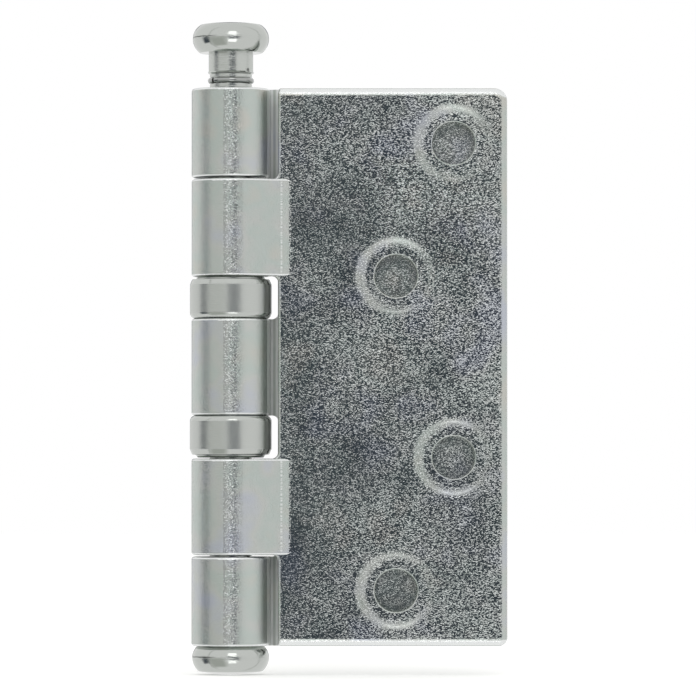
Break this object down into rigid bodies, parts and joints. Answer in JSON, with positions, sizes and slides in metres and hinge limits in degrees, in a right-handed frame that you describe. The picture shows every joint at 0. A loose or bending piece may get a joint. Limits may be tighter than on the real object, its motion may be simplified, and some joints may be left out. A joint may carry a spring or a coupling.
{
  "type": "ball bearing butt hinge",
  "caption": "Steel butt hinge, closed: staggered countersunk screw holes, thrust ball bearings either side of the centre knuckle and a loose button-head pin left raised.",
  "frame": {"origin": "centre of the rear leaf's four screw holes, on that leaf's outer face, which goes against the frame", "axes": "+Z along the pin towards its button head, +Y out of the rear leaf's outer face, +X from the pin towards the leaves' free edges"},
  "size_m": [0.0578, 0.0148, 0.119],
  "materials": {
    "zinc_plated_sheet": "bright zinc plate over pressed sheet steel, with the sheet's fine pitted grain on the leaf faces",
    "zinc_plated_pin": "bright zinc plate over cold-headed and turned steel",
    "bearing_steel": "bright zinc plate over drawn and turned steel",
    "bearing_ball_steel": "polished hardened steel",
    "spring_steel": "zinc plated spring steel"
  },
  "bodies": {
    "fixed_leaf": {"rear_leaf": "zinc_plated_sheet", "bottom_tip": "zinc_plated_pin", "upper_bearing_cup": "bearing_steel", "lower_bearing_cup": "bearing_steel", "upper_fixed_race": "bearing_steel", "lower_fixed_race": "bearing_steel"},
    "moving_leaf": {"front_leaf": "zinc_plated_sheet", "upper_turning_race": "bearing_steel", "lower_turning_race": "bearing_steel"},
    "pin": {"hinge_pin": "zinc_plated_pin", "pin_split_ring": "spring_steel"},
    "upper_balls": {"upper_ball_01": "bearing_ball_steel", "upper_ball_02": "bearing_ball_steel", "upper_ball_03": "bearing_ball_steel", "upper_ball_04": "bearing_ball_steel", "upper_ball_05": "bearing_ball_steel", "upper_ball_06": "bearing_ball_steel", "upper_ball_07": "bearing_ball_steel", "upper_ball_08": "bearing_ball_steel", "upper_ball_09": "bearing_ball_steel", "upper_ball_10": "bearing_ball_steel", "upper_ball_11": "bearing_ball_steel", "upper_ball_12": "bearing_ball_steel", "upper_ball_13": "bearing_ball_steel", "upper_ball_14": "bearing_ball_steel"},
    "lower_balls": {"lower_ball_01": "bearing_ball_steel", "lower_ball_02": "bearing_ball_steel", "lower_ball_03": "bearing_ball_steel", "lower_ball_04": "bearing_ball_steel", "lower_ball_05": "bearing_ball_steel", "lower_ball_06": "bearing_ball_steel", "lower_ball_07": "bearing_ball_steel", "lower_ball_08": "bearing_ball_steel", "lower_ball_09": "bearing_ball_steel", "lower_ball_10": "bearing_ball_steel", "lower_ball_11": "bearing_ball_steel", "lower_ball_12": "bearing_ball_steel", "lower_ball_13": "bearing_ball_steel", "lower_ball_14": "bearing_ball_steel"}
  },
  "joints": [
    {"name": "leaf_swing", "type": "hinge", "parent": "fixed_leaf", "child": "moving_leaf", "pos_m": [-0.03535, -0.0037, 0], "axis": [0, 0, -1], "range_deg": [-1.5, 303]},
    {"name": "pin_slide", "type": "slide", "parent": "fixed_leaf", "child": "pin", "axis": [0, 0, 1], "range_m": [-0.00655, 0.09]},
    {"name": "upper_balls_roll", "type": "hinge", "parent": "fixed_leaf", "child": "upper_balls", "pos_m": [-0.03535, -0.0037, 0], "axis": [0, 0, -1], "range_deg": [-0.75, 151.5]},
    {"name": "lower_balls_roll", "type": "hinge", "parent": "fixed_leaf", "child": "lower_balls", "pos_m": [-0.03535, -0.0037, 0], "axis": [0, 0, -1], "range_deg": [-0.75, 151.5]}
  ],
  "couplings": [
    {"joint": "upper_balls_roll", "follows": "leaf_swing", "ratio": 0.5},
    {"joint": "lower_balls_roll", "follows": "leaf_swing", "ratio": 0.5}
  ]
}
